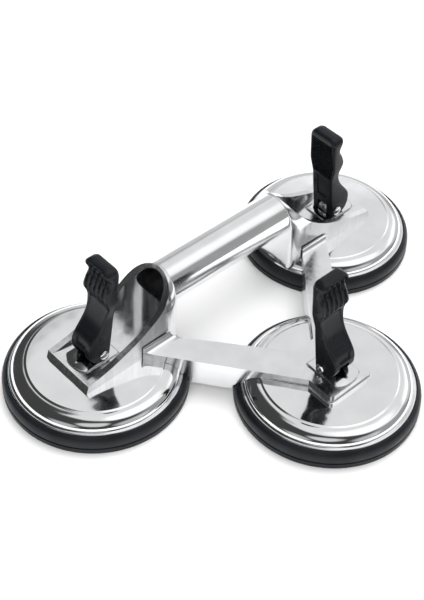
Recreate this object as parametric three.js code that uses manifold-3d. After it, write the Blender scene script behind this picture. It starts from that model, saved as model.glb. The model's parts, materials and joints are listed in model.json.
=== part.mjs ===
// Triple-cup vacuum lifter: three lever-worked rubber cups under a polished
// aluminium frame with a tube handle. Millimetres, +Z up, origin on the ground
// under the middle of the frame. Cups A and B carry the handle, cup C is in front.
import * as THREE from "three";
import { mergeVertices } from "three/addons/utils/BufferGeometryUtils.js";
import Module from "manifold-3d";

const wasm = await Module();
wasm.setup();

// ---------------------------------------------------------------- dimensions
const GAP = 0.3; // left between pieces that touch

const SPAN = 205; // between the centres of cups A and B
const DEPTH = 103.2; // from the line A-B to the centre of cup C

const RUBBER_RADIUS = 59;
const RIM_RADIUS = 55.2; // aluminium rim of a cup housing
const RIM_BOTTOM = 9.2;
const CROWN_RADIUS = 43; // flat top of a cup housing
const CROWN_TOP = 20.8;
const SHELL = 3; // wall of a cup housing
const SHOULDER_FOOT = 13.2; // height where the rounded shoulder ends
const SHOULDER_REACH = 10.2;

const PAD_TOP = 26.3; // pads, bars and socket floors share this height
const PAD_OUT = 21; // a pad's outer edge, from the cup centre
const PAD_DRAFT = 1.6; // how far a pad's outer wall leans out at its foot
const PAD_HALF = 20;
const POCKET_RADIUS = 10.5; // spring pocket
const POCKET_TOP = 23.6;
const STUD_HOLE_RADIUS = 4.7;

const SOCKET_BACK = -53; // back wall of a socket, from the cup centre
const SOCKET_WALL = 3.4;
const SOCKET_HALF = 19.3; // where the flanks start to flare in towards the tube
const SOCKET_FLARE = 9; // length of that flare
const ARCH_TOP = 67.1;
const HOLLOW_HALF = 15.6;
const HOLLOW_FLANK = 46; // height where the hollow's flanks turn into its arch

const TUBE_RADIUS = 14.4;
const TUBE_BORE = 12.2;
const TUBE_HEIGHT = ARCH_TOP - TUBE_RADIUS; // the tube's top is flush with the arch

const BAR_BOTTOM = 6.5;
const BAR_WALL = 3.2;
const BAR_END = DEPTH / 2 - SOCKET_HALF - 2 * GAP; // bars stop at the sockets' flanks
const BAR_FILLET = 4.5; // where a bar meets a socket's flank

const WEAR_BOTTOM = PAD_TOP + 0.2;
const WEAR_TOP = WEAR_BOTTOM + 0.9;

const LEVER_WIDTH = 18; // at the fork
const NOSE_WIDTH = 23;
const NOSE_TOP = 66.8; // above the pin
const NOSE_CORNER = 3.5;
const FORK_WIDTH = 8.6;
const HEEL_DROP = 3.7; // pin to the lever's foot, upright
const HEEL_REACH = 11; // pin to the lever's outer face, which is its foot when down
const PIN_HEIGHT = WEAR_TOP + 0.2 + HEEL_DROP;
const PIN_RADIUS = 2.2;
const PIN_BORE = 2.3;
const LIFT_PER_RADIAN = (HEEL_REACH - HEEL_DROP) / (Math.PI / 2);

const STUD_RADIUS = 4;
const EYE_HALF = 4.5;
const PLATE_RADIUS = 30;
const PLATE_BOTTOM = 7.3;
const PLATE_TOP = 9.5;

const SPRING_RADIUS = 8.6;
const SPRING_WIRE = 0.8;
const SPRING_TURNS = 3.5;

const FACETS = 40; // round the big lathe shapes
const FINE_FACETS = 24; // round pins and bores

const CUPS = {
  a: { x: -SPAN / 2, y: DEPTH / 2, outward: Math.PI },
  b: { x: SPAN / 2, y: DEPTH / 2, outward: 0 },
  c: { x: 0, y: -DEPTH / 2, outward: -Math.PI / 2 },
};

// ------------------------------------------------------------------ materials
const FINISHES = {
  aluminium: { color: 0xe6e7ea, roughness: 0.12, metalness: 1 },
  steel: { color: 0xb9bcc1, roughness: 0.3, metalness: 1 },
  rubber: { color: 0x17181b, roughness: 0.6, metalness: 0 },
  plastic: { color: 0x121317, roughness: 0.4, metalness: 0 },
};

function finish(name) {
  return new THREE.MeshStandardMaterial(FINISHES[name]);
}

// -------------------------------------------------------------- solid helpers
function toSolid(geometry) {
  const bare = geometry.clone();
  bare.deleteAttribute("normal");
  bare.deleteAttribute("uv");
  const merged = mergeVertices(bare, 1e-4);
  const source = merged.index.array;
  const corners = [];
  for (let i = 0; i < source.length; i += 3) {
    const [a, b, c] = [source[i], source[i + 1], source[i + 2]];
    if (a !== b && b !== c && c !== a) corners.push(a, b, c);
  }
  const mesh = new wasm.Mesh({
    numProp: 3,
    vertProperties: merged.attributes.position.array,
    triVerts: new Uint32Array(corners),
  });
  return new wasm.Manifold(mesh);
}

function piece(name, solid, finishName) {
  const { vertProperties, triVerts } = solid.getMesh();
  const geometry = new THREE.BufferGeometry();
  geometry.setAttribute("position", new THREE.BufferAttribute(vertProperties, 3));
  geometry.setIndex(new THREE.BufferAttribute(triVerts, 1));
  geometry.computeVertexNormals();
  const mesh = new THREE.Mesh(geometry, finish(finishName));
  mesh.name = name;
  return mesh;
}

function signedArea(points) {
  return points.reduce((sum, [x, y], i) => {
    const [nextX, nextY] = points[(i + 1) % points.length];
    return sum + (x * nextY - nextX * y) / 2;
  }, 0);
}

// Turns a closed outline of [radius, height] points about the Z axis.
function lathe(outline, facets = FACETS) {
  const ordered = signedArea(outline) > 0 ? outline : [...outline].reverse();
  const ring = [...ordered, ordered[0]].map(([radius, height]) => new THREE.Vector2(radius, height));
  return toSolid(new THREE.LatheGeometry(ring, facets).rotateX(Math.PI / 2));
}

function extrude(outline, length) {
  const shape = new THREE.Shape(outline.map(([x, y]) => new THREE.Vector2(x, y)));
  return new THREE.ExtrudeGeometry(shape, { depth: length, bevelEnabled: false });
}

// Plan outline of [x, y] points, standing between two heights.
function upright(outline, bottom, top) {
  return toSolid(extrude(outline, top - bottom).translate(0, 0, bottom));
}

// Section of [y, z] points, running along X between two places.
function alongX(section, start, end) {
  const turn = new THREE.Matrix4().makeBasis(
    new THREE.Vector3(0, 1, 0),
    new THREE.Vector3(0, 0, 1),
    new THREE.Vector3(1, 0, 0),
  );
  return toSolid(extrude(section, end - start).applyMatrix4(turn).translate(start, 0, 0));
}

// Side outline of [x, z] points, with its width centred on Y = 0.
function acrossY(outline, width) {
  return toSolid(extrude(outline, width).rotateX(Math.PI / 2).translate(0, width / 2, 0));
}

function arc(centreX, centreY, radiusX, radiusY, from, to, steps) {
  return Array.from({ length: steps + 1 }, (_, i) => {
    const angle = from + ((to - from) * i) / steps;
    return [centreX + radiusX * Math.cos(angle), centreY + radiusY * Math.sin(angle)];
  });
}

function circle(centreX, centreY, radius, facets = FINE_FACETS) {
  return arc(centreX, centreY, radius, radius, 0, 2 * Math.PI, facets).slice(0, -1);
}

function smooth(points, steps) {
  const curve = new THREE.SplineCurve(points.map(([x, y]) => new THREE.Vector2(x, y)));
  return curve.getPoints(steps).map(({ x, y }) => [x, y]);
}

function mirrorX(outline) {
  return outline.map(([x, y]) => [-x, y]).reverse();
}

// ------------------------------------------------------------------ a suction cup
// Cup pieces are made round the Z axis with +X pointing outward, away from the frame.

function shoulder(grow, steps) {
  const rise = CROWN_TOP - SHOULDER_FOOT;
  return arc(CROWN_RADIUS, SHOULDER_FOOT, SHOULDER_REACH + grow, rise + grow, 0, Math.PI / 2, steps);
}

function housing() {
  const grooveRadius = CROWN_RADIUS + SHOULDER_REACH;
  const beadTop = SHOULDER_FOOT - 0.1;
  return lathe([
    [POCKET_RADIUS, CROWN_TOP - SHELL],
    ...shoulder(-SHELL, 3).reverse(),
    [grooveRadius - SHELL - 1.6, RIM_BOTTOM],
    [RIM_RADIUS, RIM_BOTTOM],
    [RIM_RADIUS, beadTop - 0.6],
    [RIM_RADIUS - 0.5, beadTop],
    [grooveRadius + 0.7, beadTop],
    [grooveRadius + 0.1, beadTop - 0.5],
    ...shoulder(0, 6),
    [POCKET_RADIUS, CROWN_TOP],
  ]);
}

// The space a housing and its rubber disc take up, for cutting the frame above them.
function cupEnvelope() {
  return lathe([
    [0, -1],
    [RUBBER_RADIUS + 1, -1],
    [RUBBER_RADIUS + 1, SHOULDER_FOOT - 4],
    [RIM_RADIUS + 1, SHOULDER_FOOT + 0.3],
    ...shoulder(GAP, 7),
    [0, CROWN_TOP + GAP],
  ]);
}

function rubberDisc() {
  const cavityRadius = 49;
  const cavityDepth = 1.8;
  const webTop = PLATE_BOTTOM - GAP;
  const seat = RIM_BOTTOM - GAP;
  const seatInner = 47.5;
  const wall = RIM_RADIUS + GAP;
  return lathe([
    [0, cavityDepth],
    [cavityRadius, cavityDepth],
    [cavityRadius + 1.2, 0],
    [RUBBER_RADIUS - 0.6, 0],
    [RUBBER_RADIUS, 0.6],
    [RUBBER_RADIUS, 4.2],
    [RUBBER_RADIUS - 0.7, 4.9],
    [RUBBER_RADIUS - 0.1, 5.8],
    [RUBBER_RADIUS - 0.3, 9],
    [wall + 0.9, SHOULDER_FOOT - 0.5],
    [wall, SHOULDER_FOOT - 0.6],
    [wall, seat],
    [seatInner, seat],
    [seatInner - 1.5, webTop],
    [0, webTop],
  ]);
}

function backingPlate() {
  const bore = STUD_RADIUS + GAP;
  return lathe([
    [bore, PLATE_BOTTOM],
    [PLATE_RADIUS, PLATE_BOTTOM],
    [PLATE_RADIUS, PLATE_TOP - 0.5],
    [PLATE_RADIUS - 0.5, PLATE_TOP],
    [bore, PLATE_TOP],
  ]);
}

function drawStud() {
  const rodTop = PIN_HEIGHT - 2.8;
  const eyeFoot = PIN_HEIGHT - 3.5;
  const collarFoot = PLATE_TOP + GAP;
  const rod = upright(circle(0, 0, STUD_RADIUS, 24), PLATE_BOTTOM + 0.2, rodTop);
  const collar = upright(circle(0, 0, 6.4, 6), collarFoot, collarFoot + 3);
  const eyeOutline = [[-EYE_HALF, eyeFoot], ...arc(0, PIN_HEIGHT, EYE_HALF, EYE_HALF, 0, Math.PI, 16)];
  eyeOutline.splice(1, 0, [EYE_HALF, eyeFoot]);
  const eye = acrossY(eyeOutline, FORK_WIDTH - 2 * GAP);
  const bore = acrossY(circle(0, PIN_HEIGHT, PIN_RADIUS + GAP), FORK_WIDTH + 2);
  return rod.add(collar).add(eye).subtract(bore);
}

class Helix extends THREE.Curve {
  constructor(radius, bottom, top, turns) {
    super();
    Object.assign(this, { radius, bottom, top, turns });
  }

  getPoint(t, target = new THREE.Vector3()) {
    const angle = 2 * Math.PI * this.turns * t;
    const height = this.bottom + (this.top - this.bottom) * t;
    return target.set(this.radius * Math.cos(angle), this.radius * Math.sin(angle), height);
  }
}

function returnSpring() {
  const bottom = PLATE_TOP + GAP + SPRING_WIRE;
  const top = POCKET_TOP - GAP - SPRING_WIRE;
  const path = new Helix(SPRING_RADIUS, bottom, top, SPRING_TURNS);
  const section = new THREE.Shape(circle(0, 0, SPRING_WIRE, 8).map(([x, y]) => new THREE.Vector2(x, y)));
  const stepsPerTurn = 14;
  const steps = SPRING_TURNS * stepsPerTurn;
  return toSolid(new THREE.ExtrudeGeometry(section, { steps, extrudePath: path, bevelEnabled: false }));
}

function wearPlate() {
  const half = 10.3;
  const inner = -10.5;
  const shoulderX = 13;
  const outer = 18;
  const outline = [[inner, -half], ...arc(shoulderX, 0, outer - shoulderX, half, -Math.PI / 2, Math.PI / 2, 14)];
  outline.push([inner, half]);
  const hole = upright(circle(0, 0, STUD_HOLE_RADIUS), WEAR_BOTTOM - 1, WEAR_TOP + 1);
  return upright(outline, WEAR_BOTTOM, WEAR_TOP).subtract(hole);
}

// The heel's reach from the pin grows evenly with the lever's angle, so the stud
// rises evenly and the heel stays on the wear plate all the way down.
function heelCurve(steps) {
  return Array.from({ length: steps + 1 }, (_, i) => {
    const angle = (Math.PI / 2) * (i / steps);
    const reach = HEEL_DROP + LIFT_PER_RADIAN * angle;
    const x = reach * Math.sin(angle) + LIFT_PER_RADIAN * Math.cos(angle);
    const z = -reach * Math.cos(angle) + LIFT_PER_RADIAN * Math.sin(angle);
    return [x, z];
  });
}

// Side outline from the pin: heel, outer face with its finger waist, nose, inner face.
function leverOutline() {
  const lowerFace = [[11, 8], [9.2, 13], [1, 24], [-3.2, 34], [-3.6, 39]];
  const fingerHollow = [[-1.6, 45], [-3, 50.5], [-5.6, 56.5], [-3, 63.5]];
  const outerFace = smooth([...lowerFace, ...fingerHollow], 24);
  const top = smooth([[-3.4, 65.2], [-4.8, 66.3], [-8, NOSE_TOP], [-11.4, 66.3], [-12.9, 64.6], [-13.2, 61.5]], 10);
  const innerFace = smooth([[-13, 58], [-11.2, 46], [-8.2, 22], [-5, 0]], 8);
  return [...heelCurve(8), ...outerFace, ...top, ...innerFace, [-4.4, -HEEL_DROP]];
}

// Front outline: as wide as the fork up to the waist, then flared to the nose.
function leverFront() {
  const waist = 27;
  const flareHeight = 16;
  const steps = 6;
  const flare = Array.from({ length: steps + 1 }, (_, i) => {
    const along = i / steps;
    const widened = along * along * (3 - 2 * along);
    return [(LEVER_WIDTH + (NOSE_WIDTH - LEVER_WIDTH) * widened) / 2, waist + flareHeight * along];
  });
  const corner = arc(
    NOSE_WIDTH / 2 - NOSE_CORNER, NOSE_TOP - NOSE_CORNER, NOSE_CORNER, NOSE_CORNER, 0, Math.PI / 2, 5,
  );
  const half = [[LEVER_WIDTH / 2, -HEEL_DROP - 1], ...flare, ...corner];
  return [...half, ...mirrorX(half)];
}

function lever() {
  const side = acrossY(leverOutline(), NOSE_WIDTH);
  const body = side.intersect(alongX(leverFront(), -20, 20));
  const forkSlot = acrossY([[-8, -6], [14, -6], [14, 5.4], [-8, 5.4]], FORK_WIDTH);
  const bore = acrossY(circle(0, 0, PIN_BORE), LEVER_WIDTH + 2);
  const palmChannel = acrossY([[-16, 12], [-5.9, 12], [-8.4, 30], [-16, 30]], FORK_WIDTH);
  return body.subtract(forkSlot).subtract(bore).subtract(palmChannel).translate([0, 0, PIN_HEIGHT]);
}

function pivotPin() {
  const headInner = LEVER_WIDTH / 2 + GAP;
  const headRadius = 3.5;
  const headHeight = 1.5;
  const headEnd = headInner + headHeight;
  return lathe([
    [0, -headEnd],
    ...arc(0, -headInner - 0.4, headRadius, headHeight - 0.4, -Math.PI / 3, 0, 3),
    [headRadius, -headInner],
    [PIN_RADIUS, -headInner],
    [PIN_RADIUS, headInner],
    [headRadius, headInner],
    ...arc(0, headInner + 0.4, headRadius, headHeight - 0.4, 0, Math.PI / 3, 3),
    [0, headEnd],
  ], FINE_FACETS).rotate([90, 0, 0]).translate([0, 0, PIN_HEIGHT]);
}

// Every pad over a cup has the spring pocket and the stud's hole.
function cutPad(solid, x, y) {
  const pocket = upright(circle(x, y, POCKET_RADIUS), 0, POCKET_TOP);
  const hole = upright(circle(x, y, STUD_HOLE_RADIUS), 0, PAD_TOP + 1);
  return solid.subtract(pocket).subtract(hole);
}

// -------------------------------------------------------------- handle sockets
// Half-width of a socket at a place along it: even along the pad, then flaring in
// on a quarter ellipse to the tube's own radius at the back.
function flank(x) {
  const flareStart = SOCKET_BACK + SOCKET_FLARE;
  if (x >= flareStart) {
    const along = (x - flareStart) / (PAD_OUT - flareStart);
    return SOCKET_HALF + (PAD_HALF - SOCKET_HALF) * along;
  }
  const into = (flareStart - x) / SOCKET_FLARE;
  return TUBE_RADIUS + (SOCKET_HALF - TUBE_RADIUS) * Math.sqrt(1 - into * into);
}

// Half a turn over the top of two upright legs, as [y, z] points.
function archSection(bottom, half, springing, top) {
  return [
    [-half, bottom],
    [half, bottom],
    ...arc(0, springing, half, top - springing, 0, Math.PI, 18),
  ];
}

// Solid through sections of [y, z] points that all have the same number of points.
function loftAlongX(stations, sectionAt) {
  const rings = stations.map(sectionAt);
  const size = rings[0].length;
  const positions = rings.flatMap((ring, i) => ring.flatMap(([y, z]) => [stations[i], y, z]));
  const indices = [];
  for (let i = 0; i + 1 < rings.length; i += 1) {
    for (let j = 0; j < size; j += 1) {
      const here = i * size + j;
      const beside = i * size + ((j + 1) % size);
      indices.push(here, beside, beside + size, here, beside + size, here + size);
    }
  }
  const cap = THREE.ShapeUtils.triangulateShape(rings[0].map(([y, z]) => new THREE.Vector2(y, z)), []);
  const last = (rings.length - 1) * size;
  for (const [a, b, c] of cap) indices.push(a, c, b, last + a, last + b, last + c);
  const geometry = new THREE.BufferGeometry();
  geometry.setAttribute("position", new THREE.Float32BufferAttribute(positions, 3));
  geometry.setIndex(indices);
  return toSolid(geometry);
}

function socketOutside() {
  const flareSteps = 7;
  const flare = Array.from({ length: flareSteps + 1 }, (_, i) => {
    const angle = (Math.PI / 2) * (i / flareSteps);
    return SOCKET_BACK + SOCKET_FLARE * (1 - Math.cos(angle));
  });
  const stations = [...flare, PAD_OUT + PAD_DRAFT];
  return loftAlongX(stations, (x) => archSection(BAR_BOTTOM, flank(x), ARCH_TOP - flank(x), ARCH_TOP));
}

function scoopHollow() {
  const endX = SOCKET_BACK + SOCKET_WALL + HOLLOW_HALF;
  const mouthX = PAD_OUT + 5;
  const plan = [
    [mouthX, -HOLLOW_HALF],
    [mouthX, HOLLOW_HALF],
    ...arc(endX, 0, HOLLOW_HALF, HOLLOW_HALF, Math.PI / 2, 1.5 * Math.PI, 16),
  ];
  const hollowTop = TUBE_HEIGHT + TUBE_BORE;
  const arch = alongX(archSection(PAD_TOP, HOLLOW_HALF, HOLLOW_FLANK, hollowTop), SOCKET_BACK, mouthX);
  return upright(plan, PAD_TOP, ARCH_TOP).intersect(arch);
}

// Everything above the scoop's rim, which climbs from the pad's edge to the tube's top,
// and everything outside the pad's leaning outer wall.
function aboveRim() {
  const rim = smooth([
    [PAD_OUT, PAD_TOP],
    [6, 29.2],
    [-5, 32.6],
    [-22, 39.6],
    [-37, 49.4],
    [-47, 59.6],
    [SOCKET_BACK + 0.6, ARCH_TOP + 0.6],
  ], 22);
  const above = ARCH_TOP + 9;
  const beyond = PAD_OUT + 9;
  const wallFoot = [PAD_OUT + PAD_DRAFT, CROWN_TOP];
  const outline = [wallFoot, [beyond, CROWN_TOP], [beyond, above], [SOCKET_BACK, above], ...rim.reverse()];
  return acrossY(outline, 3 * PAD_HALF);
}

// The socket's back overhangs the cup, so it is hollow underneath.
function underside() {
  const back = SOCKET_BACK + SOCKET_WALL;
  const front = -36;
  const half = SOCKET_HALF - SOCKET_WALL;
  const corner = 4;
  const outline = [
    [front, -half],
    [front, half],
    [back + corner, half],
    [back, half - corner],
    [back, corner - half],
    [back + corner, -half],
  ];
  return upright(outline, 0, PAD_TOP - SOCKET_WALL);
}

function handleSocket() {
  const bore = alongX(circle(0, TUBE_HEIGHT, TUBE_BORE), SOCKET_BACK - 1, SOCKET_BACK + 14);
  const scoop = socketOutside().subtract(scoopHollow()).subtract(aboveRim()).subtract(bore);
  return cutPad(scoop.subtract(underside()).subtract(cupEnvelope()), 0, 0);
}

function handleTube() {
  const end = SPAN / 2 + SOCKET_BACK - GAP;
  const outer = alongX(circle(0, 0, TUBE_RADIUS, FACETS), -end, end);
  const inner = alongX(circle(0, 0, TUBE_BORE, FACETS), -end - 1, end + 1);
  return outer.subtract(inner).translate([0, DEPTH / 2, TUBE_HEIGHT]);
}

// ---------------------------------------------------------------------- bridge
// Left bar between cup C's pad and socket A, in plan. inset shrinks it for its hollow.
function barPlan(inset) {
  const front = [[-18, -51.2], [-83.5, 35.3]];
  const rear = [[-8.4, -28.6], [-55.4, 27.7]];
  const inward = (points, side) => {
    const [[x0, y0], [x1, y1]] = points;
    const length = Math.hypot(x1 - x0, y1 - y0);
    const shift = (side * inset) / length;
    return points.map(([x, y]) => [x + (y1 - y0) * shift, y - (x1 - x0) * shift]);
  };
  const cutAt = ([[x0, y0], [x1, y1]], y) => [x0 + ((x1 - x0) * (y - y0)) / (y1 - y0), y];
  const frontEdge = inward(front, 1);
  const rearEdge = inward(rear, -1);
  const start = inset > 0 ? -24 : -40;
  const end = BAR_END - inset;
  return [cutAt(frontEdge, start), cutAt(rearEdge, start), cutAt(rearEdge, end), cutAt(frontEdge, end)];
}

// Concave fillet between a bar's top and socket A's flank.
function barFillet() {
  const foot = BAR_END - BAR_FILLET;
  const curve = arc(foot, PAD_TOP + BAR_FILLET, BAR_FILLET, BAR_FILLET, -Math.PI / 2, 0, 4);
  const section = [[foot, PAD_TOP - 1], [BAR_END, PAD_TOP - 1], ...curve.reverse()];
  return alongX(section, -88, -52);
}

function bridge() {
  const padFront = -DEPTH / 2 - 18.8;
  const padHalf = 18;
  const padRound = 3;
  const pad = [
    ...arc(-padHalf + padRound, padFront + padRound, padRound, padRound, Math.PI, 1.5 * Math.PI, 3),
    ...arc(padHalf - padRound, padFront + padRound, padRound, padRound, 1.5 * Math.PI, 2 * Math.PI, 3),
    [padHalf, -51.2],
    [22.5, -45.5],
    [7.6, -28.6],
    [-7.6, -28.6],
    [-22.5, -45.5],
    [-padHalf, -51.2],
  ];
  let solid = upright(pad, BAR_BOTTOM, PAD_TOP);
  const bar = barPlan(0);
  const fillet = barFillet().intersect(upright(bar, PAD_TOP - 1, PAD_TOP + BAR_FILLET));
  solid = solid.add(fillet).add(fillet.mirror([1, 0, 0]));
  for (const outline of [bar, mirrorX(bar)]) {
    solid = solid.add(upright(outline, BAR_BOTTOM, PAD_TOP));
  }
  for (const outline of [barPlan(BAR_WALL), mirrorX(barPlan(BAR_WALL))]) {
    solid = solid.subtract(upright(outline, 0, PAD_TOP - BAR_WALL));
  }
  for (const { x, y } of Object.values(CUPS)) {
    solid = solid.subtract(cupEnvelope().translate([x, y, 0]));
  }
  return cutPad(solid, CUPS.c.x, CUPS.c.y);
}

// -------------------------------------------------------------------- assembly
function cupAssembly(letter) {
  const group = new THREE.Group();
  const { x, y, outward } = CUPS[letter];
  group.position.set(x, y, 0);
  group.rotation.z = outward;
  group.add(
    piece(`rubber_disc_${letter}`, rubberDisc(), "rubber"),
    piece(`cup_housing_${letter}`, housing(), "aluminium"),
    piece(`backing_plate_${letter}`, backingPlate(), "steel"),
    piece(`draw_stud_${letter}`, drawStud(), "steel"),
    piece(`return_spring_${letter}`, returnSpring(), "steel"),
    piece(`wear_plate_${letter}`, wearPlate(), "steel"),
    piece(`lever_${letter}`, lever(), "plastic"),
    piece(`pivot_pin_${letter}`, pivotPin(), "steel"),
  );
  if (letter !== "c") group.add(piece(`handle_socket_${letter}`, handleSocket(), "aluminium"));
  return group;
}

const lifter = new THREE.Group();
for (const letter of Object.keys(CUPS)) lifter.add(cupAssembly(letter));
lifter.add(piece("bridge", bridge(), "aluminium"));
lifter.add(piece("handle_tube", handleTube(), "aluminium"));

export default lifter;
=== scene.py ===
"""Looks of a triple-cup vacuum lifter: polished aluminium, black rubber and moulded levers."""

import json
import math

import bmesh
import bpy
from mathutils import Matrix, Vector

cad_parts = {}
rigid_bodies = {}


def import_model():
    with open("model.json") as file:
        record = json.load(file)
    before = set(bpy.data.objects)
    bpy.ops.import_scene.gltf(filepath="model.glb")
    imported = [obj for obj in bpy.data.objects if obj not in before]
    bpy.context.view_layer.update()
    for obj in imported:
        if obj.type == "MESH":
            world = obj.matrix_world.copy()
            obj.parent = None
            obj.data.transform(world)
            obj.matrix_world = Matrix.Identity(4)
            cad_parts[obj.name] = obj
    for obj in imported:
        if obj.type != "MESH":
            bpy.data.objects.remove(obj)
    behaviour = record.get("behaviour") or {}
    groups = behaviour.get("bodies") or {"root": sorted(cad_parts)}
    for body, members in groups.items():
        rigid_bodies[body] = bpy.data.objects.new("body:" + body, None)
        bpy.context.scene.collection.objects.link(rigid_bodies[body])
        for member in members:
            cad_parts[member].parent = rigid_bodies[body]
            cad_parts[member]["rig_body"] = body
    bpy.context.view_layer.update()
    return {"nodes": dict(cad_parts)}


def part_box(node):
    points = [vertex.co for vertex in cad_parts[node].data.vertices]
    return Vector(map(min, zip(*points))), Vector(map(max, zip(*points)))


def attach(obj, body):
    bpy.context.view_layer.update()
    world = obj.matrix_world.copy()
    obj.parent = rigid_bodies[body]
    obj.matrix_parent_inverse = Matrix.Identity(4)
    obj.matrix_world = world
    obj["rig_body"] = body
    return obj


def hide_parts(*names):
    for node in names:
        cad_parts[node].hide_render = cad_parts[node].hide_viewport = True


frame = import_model()

MM = 0.001
SMOOTH_ANGLE = math.radians(32)

# Steps round a full turn.
CUP_STEPS = 192
TUBE_STEPS = 144
BORE_STEPS = 64
PIN_STEPS = 48

# Driving dimensions in millimetres. The main ones are the CAD's, finer details are only here.
RUBBER_RADIUS = 59
RIM_RADIUS = 55.2
RIM_BOTTOM = 9.2
CROWN_RADIUS = 43
CROWN_TOP = 20.8
SHELL = 3
SHOULDER_FOOT = 13.2
SHOULDER_REACH = 10.2

PAD_TOP = 26.3
PAD_OUT = 21
PAD_DRAFT = 1.6
PAD_HALF = 20
POCKET_RADIUS = 10.5
POCKET_TOP = 23.6
STUD_HOLE_RADIUS = 4.7

SOCKET_BACK = -53
SOCKET_WALL = 3.4
SOCKET_HALF = 19.3
SOCKET_FLARE = 9
ARCH_TOP = 67.1
HOLLOW_HALF = 15.6
HOLLOW_FLANK = 46

TUBE_RADIUS = 14.4
TUBE_BORE = 12.2
TUBE_HEIGHT = ARCH_TOP - TUBE_RADIUS

BAR_BOTTOM = 6.5
BAR_WALL = 3.2
BAR_FILLET = 4.5
BAR_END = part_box("handle_socket_a")[0].y / MM
FRAME_SINK = 0.1  # how far the frame is let into the cups' skin

WEAR_BOTTOM = PAD_TOP - 0.4
WEAR_TOP = PAD_TOP + 1.1
RECESS_DEPTH = 0.9
RECESS_GAP = 0.7
FOOT_FILLET = 1.1  # where a pad's wall meets the crown

LEVER_HALF = 9  # at the fork
NOSE_HALF = 11.5
NOSE_CORNER = 5.5
FORK_HALF = 4.3
HEEL_DROP = 3.7
HEEL_REACH = 11
LIFT_PER_RADIAN = (HEEL_REACH - HEEL_DROP) / (math.pi / 2)
NOSE_TOP = 66.8
RIBS_FROM = 31
PIN_HEIGHT = WEAR_TOP + 0.2 + HEEL_DROP
PIN_RADIUS = 2.2
PIN_HEAD_RADIUS = 3.5
PIN_HEAD_INNER = 9.3
PIN_HEAD_OUTER = 10.8

STUD_RADIUS = 4
EYE_HALF = 4.5

LENS = 75.734
CAMERA_PLACE = (-0.410724, -0.372355, 0.610415)
CAMERA_TARGET = (0.000241, 0.056313, 0)
CAMERA_ROLL = math.radians(2.390)

OUTWARD = {"a": math.pi, "b": 0, "c": -math.pi / 2}


# ---------------------------------------------------------------- outlines
def arc(centre_x, centre_y, radius_x, radius_y, start, end, steps):
    """Points on part of an ellipse, from one angle in degrees to another."""
    angles = [math.radians(start + (end - start) * i / steps) for i in range(steps + 1)]
    return [(centre_x + radius_x * math.cos(a), centre_y + radius_y * math.sin(a)) for a in angles]


def circle(centre_x, centre_y, radius, steps=PIN_STEPS):
    return arc(centre_x, centre_y, radius, radius, 0, 360, steps)[:-1]


def spline(points, steps):
    """A smooth curve through the points, with the given number of steps between each two."""
    padded = [points[0], *points, points[-1]]
    curve = []
    for p0, p1, p2, p3 in zip(padded, padded[1:], padded[2:], padded[3:]):
        for i in range(steps):
            t = i / steps
            curve.append(tuple(
                0.5 * (
                    2 * b
                    + (c - a) * t
                    + (2 * a - 5 * b + 4 * c - d) * t**2
                    + (3 * b - a - 3 * c + d) * t**3
                )
                for a, b, c, d in zip(p0, p1, p2, p3)
            ))
    return [*curve, points[-1]]


def rounded(points, radius, steps=4):
    """The outline with each corner rounded off by a curve that starts radius away from it."""
    outline = []
    for i, corner in enumerate(points):
        before = Vector(points[i - 1])
        here = Vector(corner)
        after = Vector(points[(i + 1) % len(points)])
        reach_in = min(radius, (before - here).length / 2)
        reach_out = min(radius, (after - here).length / 2)
        start = here + (before - here).normalized() * reach_in
        end = here + (after - here).normalized() * reach_out
        for k in range(steps + 1):
            t = k / steps
            point = start * (1 - t) ** 2 + here * 2 * t * (1 - t) + end * t**2
            outline.append(tuple(point))
    return outline


def mirrored(points):
    return [(-x, y) for x, y in reversed(points)]


def point_at(start, stop, y):
    """The point with a given y on the line through two plan points."""
    return (start[0] + (stop[0] - start[0]) * (y - start[1]) / (stop[1] - start[1]), y)


def value_at(curve, height):
    """Reads a curve of (x, z) points, with z rising, at a height."""
    for (x0, z0), (x1, z1) in zip(curve, curve[1:]):
        if height <= z1:
            share = (height - z0) / max(z1 - z0, 1e-9)
            return x0 + (x1 - x0) * max(share, 0)
    return curve[-1][0]


def ease(value, low, high):
    """0 below low, 1 above high, and a smooth step between them."""
    t = min(max((value - low) / (high - low), 0), 1)
    return t * t * (3 - 2 * t)


# ------------------------------------------------------------------ meshes
def new_object(name, data):
    """An object of the scene that shows the given mesh, lamp or camera."""
    made = bpy.data.objects.new(name, data)
    bpy.context.scene.collection.objects.link(made)
    return made


def mesh_object(name, points, faces):
    """A tidy closed mesh object from points in millimetres."""
    mesh = bpy.data.meshes.new(name)
    mesh.from_pydata([(x * MM, y * MM, z * MM) for x, y, z in points], [], faces)
    clean(mesh)
    return new_object(name, mesh)


def clean(mesh):
    """Merges points that meet and turns every face outwards."""
    work = bmesh.new()
    work.from_mesh(mesh)
    bmesh.ops.remove_doubles(work, verts=work.verts, dist=0.002 * MM)
    bmesh.ops.recalc_face_normals(work, faces=work.faces)
    work.to_mesh(mesh)
    work.free()


def loft(name, rings):
    """A closed solid through rings that all have the same number of points."""
    size = len(rings[0])
    points = [point for ring in rings for point in ring]
    faces = []
    for i in range(len(rings) - 1):
        for j in range(size):
            here = i * size + j
            beside = i * size + (j + 1) % size
            faces.append((here, beside, beside + size, here + size))
    last = (len(rings) - 1) * size
    faces.append(tuple(reversed(range(size))))
    faces.append(tuple(range(last, last + size)))
    return mesh_object(name, points, faces)


def lathe(name, outline, steps):
    """Turns a closed outline of (radius, height) points about the Z axis."""
    size = len(outline)
    points = []
    faces = []
    for i in range(steps):
        angle = 2 * math.pi * i / steps
        points += [(r * math.cos(angle), r * math.sin(angle), z) for r, z in outline]
        for j in range(size):
            beside = (j + 1) % size
            onward = (i + 1) % steps * size
            faces.append((i * size + j, i * size + beside, onward + beside, onward + j))
    return mesh_object(name, points, faces)


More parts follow.
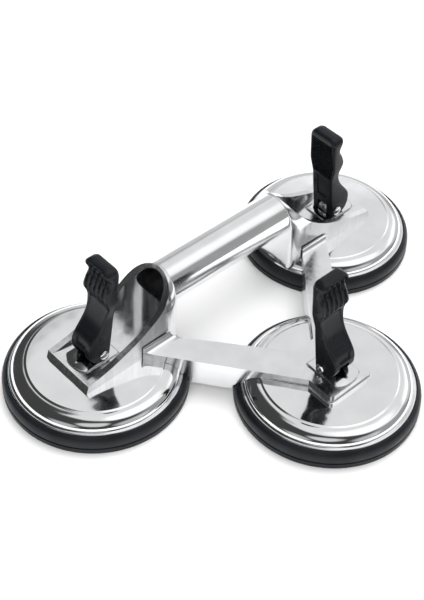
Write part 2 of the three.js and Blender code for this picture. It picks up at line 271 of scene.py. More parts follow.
def upright(name, outline, low, high):
    """A plan outline of (x, y) points standing between two heights."""
    return loft(name, [[(x, y, z) for x, y in outline] for z in (low, high)])


def along_x(name, outline, start, end):
    """A section of (y, z) points running along X."""
    return loft(name, [[(x, y, z) for y, z in outline] for x in (start, end)])


def across_y(name, outline, low, high):
    """A side outline of (x, z) points running along Y."""
    return loft(name, [[(x, y, z) for x, z in outline] for y in (low, high)])


def bake(made):
    """Replaces the object's mesh by what its modifiers make of it."""
    graph = bpy.context.evaluated_depsgraph_get()
    mesh = bpy.data.meshes.new_from_object(made.evaluated_get(graph))
    made.modifiers.clear()
    made.data = mesh


def combine(made, tools, operation):
    """Cuts the tools from the object, or keeps what they share with it."""
    for tool in tools:
        modifier = made.modifiers.new("cut", "BOOLEAN")
        modifier.object = tool
        modifier.operation = operation
        modifier.solver = "EXACT"
        bake(made)
        bpy.data.objects.remove(tool)
    return made


def cut(made, *tools):
    return combine(made, tools, "DIFFERENCE")


def bevel(made, width, steps=2, angle=30):
    """Rounds every edge sharper than the angle in degrees."""
    modifier = made.modifiers.new("bevel", "BEVEL")
    modifier.width = width * MM
    modifier.segments = steps
    modifier.limit_method = "ANGLE"
    modifier.angle_limit = math.radians(angle)
    modifier.use_clamp_overlap = True
    bake(made)
    return made


def join(name, parts):
    """One object made of several closed solids."""
    work = bmesh.new()
    for part in parts:
        work.from_mesh(part.data)
        bpy.data.objects.remove(part)
    mesh = bpy.data.meshes.new(name)
    work.to_mesh(mesh)
    work.free()
    return new_object(name, mesh)


# --------------------------------------------------------------- materials
class Nodes:
    """Short calls for building one material's node tree."""

    def __init__(self, name, colour, metallic, roughness):
        self.material = bpy.data.materials.new(name)
        self.material.use_nodes = True
        self.tree = self.material.node_tree
        self.shader = self.tree.nodes["Principled BSDF"]
        self.set(self.shader, "Base Color", (*colour, 1))
        self.set(self.shader, "Metallic", metallic)
        self.set(self.shader, "Roughness", roughness)
        self.place = self.tree.nodes.new("ShaderNodeTexCoord").outputs["Object"]

    def set(self, node, socket, value):
        node.inputs[socket].default_value = value

    def link(self, output, node, socket):
        self.tree.links.new(output, node.inputs[socket])

    def noise(self, scale, detail=3, stretch=(1, 1, 1)):
        """Noise in object space, drawn out along an axis where stretch is small."""
        mapping = self.tree.nodes.new("ShaderNodeMapping")
        self.link(self.place, mapping, "Vector")
        self.set(mapping, "Scale", stretch)
        node = self.tree.nodes.new("ShaderNodeTexNoise")
        self.link(mapping.outputs["Vector"], node, "Vector")
        self.set(node, "Scale", scale)
        self.set(node, "Detail", detail)
        return node.outputs["Fac"]

    def ramp(self, value, low, high, start=0.3, end=0.7):
        """Maps a value between start and end to a colour or grey between low and high."""
        node = self.tree.nodes.new("ShaderNodeValToRGB")
        self.link(value, node, "Fac")
        for element, place, shade in zip(node.color_ramp.elements, (start, end), (low, high)):
            element.position = place
            element.color = (*shade, 1) if isinstance(shade, tuple) else (shade, shade, shade, 1)
        return node.outputs["Color"]

    def roughness(self, value, low, high):
        self.link(self.ramp(value, low, high), self.shader, "Roughness")

    def colour(self, value, low, high):
        self.link(self.ramp(value, low, high), self.shader, "Base Color")

    def bumps(self, *layers):
        """Stacks bumps of (height, strength, distance in millimetres)."""
        normal = None
        for height, strength, distance in layers:
            node = self.tree.nodes.new("ShaderNodeBump")
            self.link(height, node, "Height")
            self.set(node, "Strength", strength)
            self.set(node, "Distance", distance * MM)
            if normal:
                self.link(normal, node, "Normal")
            normal = node.outputs["Normal"]
        self.link(normal, self.shader, "Normal")


def polished_aluminium():
    """Buffed casting: a mirror with a faint ripple and light handling haze."""
    nodes = Nodes("polished_aluminium_look", (0.9, 0.905, 0.915), metallic=1, roughness=0.07)
    haze = nodes.noise(38, 4)
    nodes.roughness(haze, 0.045, 0.12)
    nodes.colour(nodes.noise(60, 2), (0.86, 0.865, 0.88), (0.93, 0.935, 0.94))
    ripple = nodes.noise(42, 1)
    dimples = nodes.noise(190, 3, (1, 1, 0.4))
    buffing = nodes.noise(900, 2, (1, 0.12, 1))
    nodes.bumps((ripple, 0.6, 0.9), (dimples, 0.22, 0.08), (buffing, 0.05, 0.02))
    return nodes.material


def linished_aluminium():
    """Frame castings: smoothed on a belt, so softer than the cups and streaked upright."""
    nodes = Nodes("linished_aluminium_look", (0.88, 0.885, 0.895), metallic=1, roughness=0.18)
    streaks = nodes.noise(420, 4, (1, 1, 0.05))
    nodes.roughness(streaks, 0.12, 0.26)
    nodes.colour(nodes.noise(70, 3), (0.84, 0.845, 0.86), (0.92, 0.925, 0.93))
    nodes.bumps((nodes.noise(55, 2), 0.3, 0.3), (streaks, 0.12, 0.03), (nodes.noise(800, 3), 0.05, 0.02))
    return nodes.material


def drawn_aluminium():
    """Tube: polished along its length, so its streaks run that way."""
    nodes = Nodes("drawn_aluminium_look", (0.9, 0.905, 0.915), metallic=1, roughness=0.09)
    streaks = nodes.noise(500, 3, (0.03, 1, 1))
    nodes.roughness(streaks, 0.12, 0.26)
    nodes.colour(nodes.noise(60, 2), (0.86, 0.865, 0.88), (0.93, 0.935, 0.94))
    nodes.bumps((nodes.noise(40, 2, (0.4, 1, 1)), 0.35, 0.3), (streaks, 0.12, 0.03))
    return nodes.material


def plated_steel():
    """Wear plates, studs and pins: bright plating, a little uneven."""
    nodes = Nodes("plated_steel_look", (0.88, 0.885, 0.9), metallic=1, roughness=0.1)
    nodes.roughness(nodes.noise(180, 4), 0.07, 0.14)
    nodes.colour(nodes.noise(120, 3), (0.84, 0.845, 0.86), (0.91, 0.915, 0.92))
    nodes.bumps((nodes.noise(60, 1), 0.3, 0.2), (nodes.noise(900, 2), 0.04, 0.02))
    return nodes.material


def black_rubber():
    """Discs: dull black with a fine grain."""
    nodes = Nodes("black_rubber_look", (0.016, 0.017, 0.02), metallic=0, roughness=0.42)
    nodes.set(nodes.shader, "Specular IOR Level", 0.28)
    nodes.roughness(nodes.noise(90, 4), 0.34, 0.5)
    nodes.colour(nodes.noise(50, 4), (0.006, 0.007, 0.009), (0.012, 0.014, 0.018))
    nodes.bumps((nodes.noise(600, 3), 0.15, 0.06))
    return nodes.material


def black_plastic():
    """Levers: moulded black with a soft sheen."""
    nodes = Nodes("black_plastic_look", (0.012, 0.013, 0.016), metallic=0, roughness=0.3)
    nodes.set(nodes.shader, "Specular IOR Level", 0.26)
    nodes.roughness(nodes.noise(110, 4), 0.24, 0.38)
    nodes.colour(nodes.noise(70, 3), (0.005, 0.006, 0.008), (0.010, 0.011, 0.014))
    nodes.bumps((nodes.noise(1500, 2), 0.12, 0.03))
    return nodes.material


ALUMINIUM = polished_aluminium()
LINISHED = linished_aluminium()
DRAWN = drawn_aluminium()
STEEL = plated_steel()
RUBBER = black_rubber()
PLASTIC = black_plastic()


def fit(made, node, material):
    """Hands a finished piece over: it stands for a CAD node and moves with that node's body."""
    made.data.materials.clear()
    made.data.materials.append(material)
    made.data.shade_smooth()
    made.data.set_sharp_from_angle(angle=SMOOTH_ANGLE)
    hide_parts(node)
    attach(made, frame["nodes"][node]["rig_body"])


def cup_centre(letter):
    low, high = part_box(f"rubber_disc_{letter}")
    return (low + high) / 2


def to_cup(letter):
    """The move from the origin to a cup's centre."""
    centre = cup_centre(letter)
    return Matrix.Translation((centre.x, centre.y, 0))


def turned_to_cup(letter):
    """The same move after the turn that points a piece outward at that cup."""
    return to_cup(letter) @ Matrix.Rotation(OUTWARD[letter], 4, "Z")


def at_cup(pattern, letter, node, material):
    """Hands over a copy of a cup piece, turned and moved to its cup."""
    made = new_object(f"{node}_look", pattern.data.copy())
    made.data.transform(turned_to_cup(letter))
    fit(made, node, material)


# -------------------------------------------------------------- cup pieces
def shoulder(grow, steps):
    """The rounded shoulder as (radius, height) points, from its foot up to the crown."""
    height = CROWN_TOP - SHOULDER_FOOT
    return arc(CROWN_RADIUS, SHOULDER_FOOT, SHOULDER_REACH + grow, height + grow, 0, 90, steps)


def creased_shoulder():
    """The shoulder from its foot up, with a fine step where the flat crown begins."""
    step_wide = 0.9
    step_deep = 0.5
    curve = [(r, z) for r, z in shoulder(0, 32) if r > CROWN_RADIUS + step_wide]
    drop = [(r, z - step_deep * (1 - (r - CROWN_RADIUS) / SHOULDER_REACH)) for r, z in curve]
    crest = [(CROWN_RADIUS + 0.25, CROWN_TOP - 0.16), (CROWN_RADIUS, CROWN_TOP - 0.03)]
    return [*drop, *crest, (CROWN_RADIUS - 0.3, CROWN_TOP)]


def housing():
    """The section runs under the crown, round the rim bead and back over the shoulder."""
    groove = CROWN_RADIUS + SHOULDER_REACH
    groove_depth = 0.55
    bead_top = SHOULDER_FOOT - 0.1
    bead_round = 0.9
    chamfer = 0.3
    bead = arc(RIM_RADIUS - bead_round, bead_top - bead_round, bead_round, bead_round, 0, 90, 6)
    outline = [
        (POCKET_RADIUS, CROWN_TOP - SHELL),
        *reversed(shoulder(-SHELL, 12)),
        (groove - SHELL - 1.6, RIM_BOTTOM),
        (RIM_RADIUS - chamfer, RIM_BOTTOM),
        (RIM_RADIUS, RIM_BOTTOM + chamfer),
        *bead,
        (groove + 0.75, bead_top),
        (groove + 0.3, bead_top - groove_depth),
        *creased_shoulder(),
        (POCKET_RADIUS, CROWN_TOP),
    ]
    return lathe("housing_pattern", outline, CUP_STEPS)


def rubber_disc():
    """The section runs along the underside, over the lip, up the wall and back under the housing."""
    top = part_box("rubber_disc_c")[1].z / MM
    underside_height = 1.8
    underside_radius = 47.5
    lip_round = 1
    lip_flat = RUBBER_RADIUS - lip_round
    groove_round = 0.55
    wall = RIM_RADIUS + 0.1
    chamfer = 0.3
    housing_seat = 8.9
    plate_seat = 7
    recess_radius = 47.5
    outline = [
        (0, underside_height),
        (underside_radius, underside_height),
        *arc(underside_radius, 3, 2.4, 1.2, -90, -20, 4),
        (50.6, 0.15),
        (51.2, 0),
        (lip_flat, 0),
        *arc(lip_flat, lip_round, lip_round, lip_round, -90, 0, 6),
        (RUBBER_RADIUS, 3.9),
        *arc(58.75, 4.5, groove_round, groove_round, 150, 210, 4)[::-1],
        (58.9, 5.3),
        *spline([(58.95, 6), (58.8, 8.6), (57.9, 10.9), (56.6, 12.2)], 5),
        (56.2, top - 0.1),
        (wall + chamfer, top),
        (wall, top - chamfer),
        (wall, housing_seat),
        (recess_radius, housing_seat),
        (46, plate_seat),
        (0, plate_seat),
    ]
    return lathe("rubber_pattern", outline, CUP_STEPS)


def d_outline(grow):
    """Plan of a wear plate: straight at the lever's back, round at its front."""
    half = 10.3 + grow
    back = -10.5 - grow
    bow_start = 13
    bow_reach = 5 + grow
    corner = 1.2
    front = arc(bow_start, 0, bow_reach, half, -90, 90, 28)
    low = arc(back + corner, corner - half, corner, corner, 180, 270, 6)
    high = arc(back + corner, half - corner, corner, corner, 90, 180, 6)
    return [*low, *front, *high]


def wear_plate():
    plate = upright("wear_pattern", d_outline(0), WEAR_BOTTOM, WEAR_TOP)
    cut(plate, upright("hole", circle(0, 0, STUD_HOLE_RADIUS), 0, ARCH_TOP))
    return bevel(plate, width=0.25)


def draw_stud():
    """Rod, hex collar and the flat eye that the pin passes through."""
    rod_bottom = 7.5
    rod_top = PIN_HEIGHT - 2.8
    collar_radius = 6.4
    collar_bottom = 9.8
    collar_top = 12.8
    eye_bottom = PIN_HEIGHT - 3.5
    half_width = FORK_HALF - 0.3
    rod = upright("rod", circle(0, 0, STUD_RADIUS), rod_bottom, rod_top)
    collar = upright("collar", circle(0, 0, collar_radius, 6), collar_bottom, collar_top)
    side = [(-EYE_HALF, eye_bottom), (EYE_HALF, eye_bottom)]
    side += arc(0, PIN_HEIGHT, EYE_HALF, EYE_HALF, 0, 180, 24)
    eye = across_y("eye", side, -half_width, half_width)
    cut(eye, across_y("bore", circle(0, PIN_HEIGHT, PIN_RADIUS + 0.3), -LEVER_HALF, LEVER_HALF))
    return join("stud_pattern", [rod, bevel(collar, width=0.4), bevel(eye, width=0.4)])


def heel_curve(steps):
    """The cam: its reach from the pin grows evenly with the lever's angle."""
    curve = []
    for i in range(steps + 1):
        angle = math.pi / 2 * i / steps
        reach = HEEL_DROP + LIFT_PER_RADIAN * angle
        x = reach * math.sin(angle) + LIFT_PER_RADIAN * math.cos(angle)
        z = -reach * math.cos(angle) + LIFT_PER_RADIAN * math.sin(angle)
        curve.append((x, z))
    return curve


OUTER_FACE = heel_curve(20) + spline([
    (11, 8), (9.2, 13), (1, 24), (-3.2, 34), (-3.6, 39), (-1.6, 45), (-3, 50.5), (-5.6, 56.5), (-3, 63.5),
    (-3.4, 65.2), (-4.8, 66.3), (-8, NOSE_TOP),
], 8)
INNER_FACE = spline([
    (-4.4, -HEEL_DROP), (-5, 0), (-8.2, 22), (-11.2, 46), (-13, 58), (-13.2, 61.5), (-12.9, 64.6),
    (-11.4, 66.3), (-8, NOSE_TOP),
], 8)


def lever_half(z):
    """Half the lever's width: the fork's up to the waist, then flared, with round nose corners."""
    half = LEVER_HALF + (NOSE_HALF - LEVER_HALF) * ease(z, 27, 43)
    into_corner = max(z - (NOSE_TOP - NOSE_CORNER), 0) / NOSE_CORNER
    return half - NOSE_CORNER * (1 - math.sqrt(max(1 - into_corner**2, 0)))


def flutes(y, z):
    """Depth of the finger flutes, which start as round notches in the outer face's nose."""
    span = 9.6
    count = 5
    deepest = 2.2
    half_groove = 0.42  # as a share of the pitch
    if abs(y) > span:
        return 0
    pitch = 2 * span / count
    across = ((y + span) % pitch) / pitch - 0.5
    round_groove = math.sqrt(max(1 - (across / half_groove) ** 2, 0))
    return deepest * round_groove * ease(z, 39, 46) * (1 - ease(z, 63.8, 66))


def outer_recess(y, z):
    """Depth of the long channel under the flutes and of the boxed window over the fork."""
    channel_depth = 0.8
    window_depth = 1.2
    channel = channel_depth * (1 - ease(abs(y), 7, 7.6)) * ease(z, 15, 16) * (1 - ease(z, 36, 40))
    window = window_depth * (1 - ease(abs(y), 4.2, 4.8)) * ease(z, 8, 8.8) * (1 - ease(z, 12.4, 13.2))
    return channel + window


def inner_ribs(y, z):
    """Depth of the fine cross ribs inside a raised border, and of the smooth channel below them."""
    border = lever_half(z) - 1.4
    inside = 1 - ease(abs(y), border - 0.5, border)
    pitch = 1.96
    ledge = 1 - (z / pitch) % 1
    shallowest = 0.25
    rib_height = 0.85
    channel_depth = 0.8
    ribs = (shallowest + rib_height * ledge) * inside
    ribs *= ease(z, RIBS_FROM, RIBS_FROM + 0.6) * (1 - ease(z, 61, 62))
    channel = channel_depth * (1 - ease(abs(y), 3.9, 4.4)) * ease(z, 11.4, 12.4) * (1 - ease(z, 29, 30))
    return ribs + channel


def lever_ring(z):
    """The lever's section at one height from the pin: a rounded oblong with its faces worked."""
    outer = value_at(OUTER_FACE, z)
    inner = value_at(INNER_FACE, z)
    half = lever_half(z)
    thickness = outer - inner
    deepest = thickness / 3
    corner = min(1.2 + 1.8 * ease(z, 40, 62), thickness / 2 - 0.01)
    flat = half - corner
    across = 60
    turn = 5
    ring = []
    for i in range(across + 1):
        y = -flat + 2 * flat * i / across
        depth = min(flutes(y, z) + outer_recess(y, z), deepest)
        ring.append((outer - depth, y))
    ring += arc(outer - corner, flat, corner, corner, 90, 0, turn)[::-1][1:-1]
    ring += [(x, half) for x in (outer - corner, (outer + inner) / 2, inner + corner)]
    ring += arc(inner + corner, flat, corner, corner, 90, 180, turn)[1:-1]
    for i in range(across + 1):
        y = flat - 2 * flat * i / across
        depth = min(inner_ribs(y, z), deepest)
        ring.append((inner + depth, y))
    ring += arc(inner + corner, -flat, corner, corner, 180, 270, turn)[1:-1]
    ring += [(x, -half) for x in (inner + corner, (outer + inner) / 2, outer - corner)]
    ring += arc(outer - corner, -flat, corner, corner, 270, 360, turn)[1:-1]
    return [(x, y, z) for x, y in ring]


def lever():
    """Rings close together where there are ribs and at the nose, wider apart below."""
    wide_step = 0.6
    rib_step = 0.28
    nose_from = 61.5
    nose_steps = 20
    heights = [-HEEL_DROP + wide_step * i for i in range(int((RIBS_FROM + HEEL_DROP) / wide_step))]
    heights += [RIBS_FROM + rib_step * i for i in range(int((nose_from - RIBS_FROM) / rib_step))]
    heights += [
        nose_from + (NOSE_TOP - nose_from) * math.sin(math.pi / 2 * i / nose_steps)
        for i in range(nose_steps + 1)
    ]
    made = loft("lever_pattern", [lever_ring(z) for z in heights])
    slot_outline = [(-8, -6), (14, -6), (14, 5.4), (-8, 5.4)]
    slot = across_y("slot", slot_outline, -FORK_HALF, FORK_HALF)
    bore = across_y("bore", circle(0, 0, PIN_RADIUS + 0.1), -2 * LEVER_HALF, 2 * LEVER_HALF)
    cut(made, slot, bore)
    made.data.transform(Matrix.Translation((0, 0, PIN_HEIGHT * MM)))
    return made


def pivot_pin(letter):
    """A headed pin across the lever. Cup C's heads are hexagons, the others are domed rivets."""
    flats = 6 if letter == "c" else PIN_STEPS
    end = PIN_HEAD_INNER
    shank = lathe("shank", [(0, -end), (PIN_RADIUS, -end), (PIN_RADIUS, end), (0, end)], PIN_STEPS)
    head_height = PIN_HEAD_OUTER - PIN_HEAD_INNER
    dome_radius = PIN_HEAD_RADIUS - 0.2
    dome_foot = 0.3
    dome = arc(0, dome_foot, dome_radius, head_height - dome_foot, 0, 90, 8)
    outline = [(0, 0), (dome_radius, 0), *dome]
    heads = []
    for side in (-1, 1):
        head = lathe("head", [(r, side * (PIN_HEAD_INNER + z)) for r, z in outline], flats)
        bottom = side * (PIN_HEAD_OUTER - 0.5)
        mouth = side * (PIN_HEAD_OUTER + 1)
        dimple = lathe("dimple", [(0, bottom), (0.9, bottom), (1.1, mouth), (0, mouth)], PIN_STEPS)
        heads.append(bevel(cut(head, dimple), width=0.15))
    made = join(f"pin_pattern_{letter}", [shank, *heads])
    lie_across = Matrix.Rotation(math.pi / 2, 4, "X")
    made.data.transform(Matrix.Translation((0, 0, PIN_HEIGHT * MM)) @ lie_across)
    return made


# ----------------------------------------------------------- frame pieces
def cup_space():
    """The solid that a housing and its disc fill, less the skin that the frame is let into."""
    outside = RUBBER_RADIUS + 1
    return lathe("cup_space", [
        (0, -1),
        (outside, -1),
        (outside, SHOULDER_FOOT - 4),
        (RIM_RADIUS + 0.8, SHOULDER_FOOT + 0.2),
        *shoulder(-FRAME_SINK, 28),
        (0, CROWN_TOP - FRAME_SINK),
    ], CUP_STEPS)


def spring_pocket():
    """The bore for the return spring, from below up into a pad."""
    return upright("pocket", circle(0, 0, POCKET_RADIUS, BORE_STEPS), 0, POCKET_TOP)


def pad_cutters():
    """The spring pocket, the stud's hole and the wear plate's recess in a pad, round the Z axis."""
    hole = upright("hole", circle(0, 0, STUD_HOLE_RADIUS), 0, PAD_TOP + 1)
    recess = upright("recess", d_outline(RECESS_GAP), PAD_TOP - RECESS_DEPTH, PAD_TOP + 4)
    return [spring_pocket(), hole, recess]


def foot_fillet(outline_at):
    """The hollow curve round a pad's foot on the crown. outline_at gives the pad's plan grown outwards."""
    top = CROWN_TOP + FOOT_FILLET
    rings = [[(x, y, CROWN_TOP - 0.3) for x, y in outline_at(FOOT_FILLET)]]
    for growth, z in arc(FOOT_FILLET, top, FOOT_FILLET, FOOT_FILLET, 270, 180, 8):
        rings.append([(x, y, z) for x, y in outline_at(growth)])
    made = loft("foot_fillet", rings)
    crown = upright("crown", circle(0, 0, CROWN_RADIUS, 96), CROWN_TOP - 0.1, top + 1)
    combine(made, [crown], "INTERSECT")
    return cut(made, spring_pocket())


def grown(outline, distance):
    """The outline with each side moved outwards. Its points run anticlockwise."""
    least_spread = 0.4  # keeps a very sharp corner from growing a spike
    moved = []
    for i, here in enumerate(outline):
        here = Vector(here)
        arriving = (here - Vector(outline[i - 1])).normalized()
        leaving = (Vector(outline[(i + 1) % len(outline)]) - here).normalized()
        outward = Vector((arriving.y + leaving.y, -arriving.x - leaving.x)).normalized()
        spread = outward.dot(Vector((arriving.y, -arriving.x)))
        moved.append(tuple(here + outward * distance / max(spread, least_spread)))
    return moved


def flank(x):
    """Half-width of a socket along its length, flaring in to the tube at the back."""
    start = SOCKET_BACK + SOCKET_FLARE
    if x >= start:
        return SOCKET_HALF + (PAD_HALF - SOCKET_HALF) * (x - start) / (PAD_OUT - start)
    into = (start - x) / SOCKET_FLARE
    return TUBE_RADIUS + (SOCKET_HALF - TUBE_RADIUS) * math.sqrt(max(1 - into * into, 0))


def arch(half, bottom, springing, top):
    """A section with upright sides and a round top."""
    steps = 48
    return [(-half, bottom), (half, bottom), *arc(0, springing, half, top - springing, 0, 180, steps)]


def socket_outside():
    steps = 16
    flare = [SOCKET_BACK + SOCKET_FLARE * (1 - math.cos(math.pi / 2 * i / steps)) for i in range(steps + 1)]
    stations = [*flare, -30, -15, 0, 12, PAD_OUT + PAD_DRAFT]
    rings = []
    for x in stations:
        half = flank(x)
        rings.append([(x, y, z) for y, z in arch(half, BAR_BOTTOM, ARCH_TOP - half, ARCH_TOP)])
    return loft("socket_pattern", rings)


def scoop_hollow():
    """What is scooped out of a socket: round at the tube's end, open at the pad's, arched on top."""
    end = SOCKET_BACK + SOCKET_WALL + HOLLOW_HALF
    mouth = PAD_OUT + 5
    plan = [(mouth, -HOLLOW_HALF), (mouth, HOLLOW_HALF)]
    plan += arc(end, 0, HOLLOW_HALF, HOLLOW_HALF, 90, 270, 48)
    hollow = upright("hollow", plan, PAD_TOP, ARCH_TOP)
    section = arch(HOLLOW_HALF + 0.01, PAD_TOP - 1, HOLLOW_FLANK, TUBE_HEIGHT + TUBE_BORE)
    return combine(hollow, [along_x("arch", section, SOCKET_BACK, mouth + 1)], "INTERSECT")


def above_rim():
    """What the scoop's slanting rim and the pad's leaning wall take off the socket."""
    rim = spline([
        (PAD_OUT, PAD_TOP), (6, 29.2), (-5, 32.6), (-22, 39.6), (-37, 49.4), (-47, 59.6),
        (SOCKET_BACK + 0.6, ARCH_TOP + 0.6),
    ], 10)
    above = ARCH_TOP + 9
    beyond = PAD_OUT + 9
    outline = [
        (PAD_OUT + PAD_DRAFT, CROWN_TOP),
        (beyond, CROWN_TOP),
        (beyond, above),
        (SOCKET_BACK - 1, above),
        *reversed(rim),
    ]
    return across_y("above", outline, -2 * PAD_HALF, 2 * PAD_HALF)


def underside():
    """The hollow under the scoop's end, above the cup's shoulder."""
    front = -36
    back = SOCKET_BACK + SOCKET_WALL
    half = SOCKET_HALF - SOCKET_WALL
    plan = rounded([(front, -half), (front, half), (back, half), (back, -half)], 4)
    return upright("underside", plan, 0, PAD_TOP - SOCKET_WALL)


def handle_socket():
    """Pad, scoop and tube mouth of one handle end."""
    made = socket_outside()
    mouth = circle(0, TUBE_HEIGHT, TUBE_BORE, BORE_STEPS)
    bore = along_x("bore", mouth, SOCKET_BACK - 1, SOCKET_BACK + 14)
    cut(made, scoop_hollow(), above_rim(), bore, underside(), cup_space(), *pad_cutters())
    return bevel(made, width=0.45)


def handle_tube():
    low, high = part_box("handle_tube")
    cad_gap = 0.3  # left open at each socket
    chamfer = 0.3
    half = high.x / MM + cad_gap
    outline = [
        (TUBE_BORE, -half),
        (TUBE_RADIUS - chamfer, -half),
        (TUBE_RADIUS, chamfer - half),
        (TUBE_RADIUS, half - chamfer),
        (TUBE_RADIUS - chamfer, half),
        (TUBE_BORE, half),
    ]
    made = lathe("handle_tube_look", outline, TUBE_STEPS)
    made.data.transform(Matrix.Rotation(math.pi / 2, 4, "Y"))
    made.data.transform(Matrix.Translation((0, (low.y + high.y) / 2, TUBE_HEIGHT * MM)))
    return made


def bridge_plan(inset, end):
    """Left half of the bridge in plan: from the middle of cup C's pad out along the bar."""
    cup = cup_centre("c") / MM
    pad_front = cup.y - 18.8 + inset
    pad_half = 18 - inset
    turn = 3  # radius of the pad's front corner
    front = ((-18, -51.2), (-83.5, 35.3))
    rear = ((-8.4, -28.6), (-55.4, 27.7))

    def moved(line, side):
        start, stop = Vector(line[0]), Vector(line[1])
        across = Vector((stop.y - start.y, start.x - stop.x)).normalized()
        return start + across * side * inset, stop + across * side * inset

    front_line = moved(front, 1)
    rear_line = moved(rear, -1)
    return [
        *arc(turn - pad_half, pad_front + turn, turn, turn, 270, 180, 6),
        point_at(*front_line, front[0][1]),
        point_at(*front_line, end),
        point_at(*rear_line, end),
        point_at(*rear_line, rear[0][1]),
    ]


def bar_hollow(side):
    """The channel under one bar."""
    start = -24
    front_near, front_far, rear_far, rear_near = bridge_plan(BAR_WALL, BAR_END - BAR_WALL)[-4:]
    front_start = point_at(front_near, front_far, start)
    rear_start = point_at(rear_near, rear_far, start)
    outline = [(side * x, y) for x, y in (front_start, front_far, rear_far, rear_start)]
    return upright("bar_hollow", outline, 0, PAD_TOP - BAR_WALL)


def bar_fillet(side):
    """The hollow curve where a bar's top runs up a socket's flank."""
    front_near, front_far, rear_far, rear_near = bridge_plan(0, BAR_END)[-4:]
    foot = BAR_END - BAR_FILLET
    low = PAD_TOP - 1
    proud = 0.02
    rings = []
    for y, z in arc(foot, PAD_TOP + BAR_FILLET, BAR_FILLET, BAR_FILLET, 270, 360, 12):
        front = point_at(front_near, front_far, y)[0]
        rear = point_at(rear_near, rear_far, y)[0]
        section = [(front, low), (front, z + proud), (rear, z + proud), (rear, low)]
        rings.append([(side * x, y, height) for x, height in section])
    return loft("fillet", rings)


def bridge():
    """Cup C's pad with its two bars, hollow below and let onto all three cups."""
    left = bridge_plan(0, BAR_END)
    body = upright("bridge_look", [*left, *mirrored(left)], BAR_BOTTOM, PAD_TOP)
    cut(body, bar_hollow(1), bar_hollow(-1))
    for letter in OUTWARD:
        space = cup_space()
        space.data.transform(to_cup(letter))
        cut(body, space)
    cutters = pad_cutters()
    for cutter in cutters:
        cutter.data.transform(turned_to_cup("c"))
    cut(body, *cutters)

    def plan(growth):
        outline = [*reversed(mirrored(left)), *reversed(left)]
        cup_y = cup_centre("c").y / MM
        return [(x, y - cup_y) for x, y in grown(outline, growth)]

    foot = foot_fillet(plan)
    foot.data.transform(to_cup("c"))
    return join("bridge_look", [bevel(body, width=0.5), bar_fillet(1), bar_fillet(-1), foot])


# ---------------------------------------------------------------- assembly
def build_cups():
    """Every piece that each cup has. The hidden plate and spring stay as the CAD has them."""
    patterns = {
        "rubber_disc": (rubber_disc(), RUBBER, "black_rubber"),
        "cup_housing": (housing(), ALUMINIUM, "polished_aluminium"),
        "wear_plate": (wear_plate(), STEEL, "plated_steel"),
        "draw_stud": (draw_stud(), STEEL, "plated_steel"),
        "lever": (lever(), PLASTIC, "black_plastic"),
    }
    for letter in OUTWARD:
        for name, (pattern, material, slot) in patterns.items():
            at_cup(pattern, letter, f"{name}_{letter}", material)
        pin = pivot_pin(letter)
        at_cup(pin, letter, f"pivot_pin_{letter}", STEEL)
        bpy.data.objects.remove(pin)
        for hidden in ("backing_plate", "return_spring"):
            cad = frame["nodes"][f"{hidden}_{letter}"]
            cad.data.materials.clear()
            cad.data.materials.append(STEEL)
    for pattern, _, _ in patterns.values():
        bpy.data.objects.remove(pattern)


def build_frame():
    socket = handle_socket()
    for letter in "ab":
        at_cup(socket, letter, f"handle_socket_{letter}", LINISHED)
    bpy.data.objects.remove(socket)
    fit(bridge(), "bridge", LINISHED)
    fit(handle_tube(), "handle_tube", DRAWN)


# ------------------------------------------------------------------- stage
def floor():
    """A pale floor that glows and fades to white with distance. The faint glow near the object is painted
    light that lifts the shadows cast on the floor.
    """
    half = 4  # metres
    corners = [(-half, -half, 0), (half, -half, 0), (half, half, 0), (-half, half, 0)]
    mesh = bpy.data.meshes.new("floor")
    mesh.from_pydata(corners, [], [(0, 1, 2, 3)])
    ground = new_object("floor", mesh)
    nodes = Nodes("floor_look", (0.93, 0.93, 0.93), metallic=0, roughness=0.6)
    distance = nodes.tree.nodes.new("ShaderNodeVectorMath")
    distance.operation = "LENGTH"
    nodes.link(nodes.place, distance, "Vector")
    nodes.set(nodes.shader, "Emission Color", (1, 1, 1, 1))
    # Emission strength runs from 0.08 near the object, a painted glow that lightens the floor's cast
    # shadows, up to 1 far off, where the floor turns into a plain white backdrop.
    glow = nodes.ramp(distance.outputs["Value"], low=0.08, high=1.0, start=0.35, end=0.9)
    nodes.link(glow, nodes.shader, "Emission Strength")
    ground.data.materials.append(nodes.material)


def soft_light(name, place, size, power):
    """A square area light aimed at the object, which the metal doesn't mirror."""
    data = bpy.data.lights.new(name, "AREA")
    data.size = size
    data.energy = power
    lamp = new_object(name, data)
    lamp.location = place
    lamp.rotation_mode = "QUATERNION"
    lamp.rotation_quaternion = (-Vector(place)).to_track_quat("-Z", "Y")
    lamp.visible_glossy = False


# Parts of the studio that the metal mirrors: direction, radius and softness in degrees, brightness.
# The last is a dark card in front of the main panel.
PATCHES = [
    ((0.45, 0.05, 0.89), 39, 4, 0.72),
    ((0.30, -0.25, 0.92), 19, 6, 0.4),
    ((0.69, 0.70, 0.15), 24, 8, 0.6),
    ((-0.50, -0.52, 0.69), 15, 5, 0.6),
    ((0.60, -0.70, 0.35), 24, 10, 0.28),
    ((0.94, -0.05, 0.34), 18, 8, 0.55),
    ((-0.94, -0.20, 0.28), 14, 7, 0.45),
    ((0.05, -0.94, 0.34), 16, 8, 0.45),
    ((-0.05, 0.52, 0.85), 14, 4, -0.72),
]
DARK_STUDIO = 0.055


def combined(tree, operation, first, second):
    """Two brightnesses put together by a maths node."""
    node = tree.nodes.new("ShaderNodeMath")
    node.operation = operation
    tree.links.new(first, node.inputs[0])
    tree.links.new(second, node.inputs[1])
    return node.outputs["Value"]


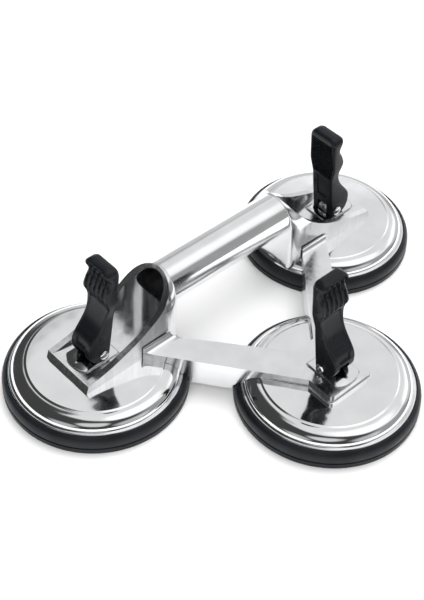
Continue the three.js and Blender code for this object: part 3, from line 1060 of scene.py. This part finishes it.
def sky_patch(tree, direction, toward, radius, softness, brightness):
    """A round part of the sky, as a brightness that fades to 0 at its edge."""
    facing = tree.nodes.new("ShaderNodeVectorMath")
    facing.operation = "DOT_PRODUCT"
    tree.links.new(direction, facing.inputs[0])
    facing.inputs[1].default_value = Vector(toward).normalized()
    patch = tree.nodes.new("ShaderNodeMapRange")
    patch.interpolation_type = "SMOOTHSTEP"
    tree.links.new(facing.outputs["Value"], patch.inputs["Value"])
    patch.inputs["From Min"].default_value = math.cos(math.radians(radius + softness))
    patch.inputs["From Max"].default_value = math.cos(math.radians(radius - softness))
    patch.inputs["To Min"].default_value = 0
    patch.inputs["To Max"].default_value = brightness
    return patch.outputs["Result"]


def studio_world():
    """A dim studio with bright panels, and plain white where the camera sees it."""
    world = bpy.data.worlds.new("studio")
    bpy.context.scene.world = world
    world.use_nodes = True
    tree = world.node_tree
    light = tree.nodes["Background"]
    direction = tree.nodes.new("ShaderNodeTexCoord").outputs["Generated"]
    base = tree.nodes.new("ShaderNodeValue").outputs["Value"]
    base.default_value = DARK_STUDIO
    brightness = base
    for patch in PATCHES:
        brightness = combined(tree, "ADD", brightness, sky_patch(tree, direction, *patch))
    lit = combined(tree, "MAXIMUM", brightness, base)
    camera_rays = tree.nodes.new("ShaderNodeLightPath").outputs["Is Camera Ray"]
    tree.links.new(combined(tree, "MAXIMUM", lit, camera_rays), light.inputs["Strength"])
    light.inputs["Color"].default_value = (1, 1, 1, 1)


def camera():
    """Aimed at its target, then rolled about the line of sight."""
    data = bpy.data.cameras.new("camera")
    data.lens = LENS
    eye = new_object("camera", data)
    aim = Vector(CAMERA_TARGET) - Vector(CAMERA_PLACE)
    back = -aim.normalized()
    level = Vector((0, 0, 1)).cross(back).normalized()
    turn = Matrix.Rotation(CAMERA_ROLL, 3, back)
    right = turn @ level
    up = back.cross(right)
    eye.matrix_world = Matrix((
        (right.x, up.x, back.x, CAMERA_PLACE[0]),
        (right.y, up.y, back.y, CAMERA_PLACE[1]),
        (right.z, up.z, back.z, CAMERA_PLACE[2]),
        (0, 0, 0, 1),
    ))
    bpy.context.scene.camera = eye


build_cups()
build_frame()
floor()
soft_light("key", (0.5, 0.3, 1.3), size=1.2, power=18)
soft_light("fill", (-0.9, -0.5, 1.1), size=1.2, power=12)
studio_world()
camera()
bpy.context.scene.view_settings.view_transform = "Standard"
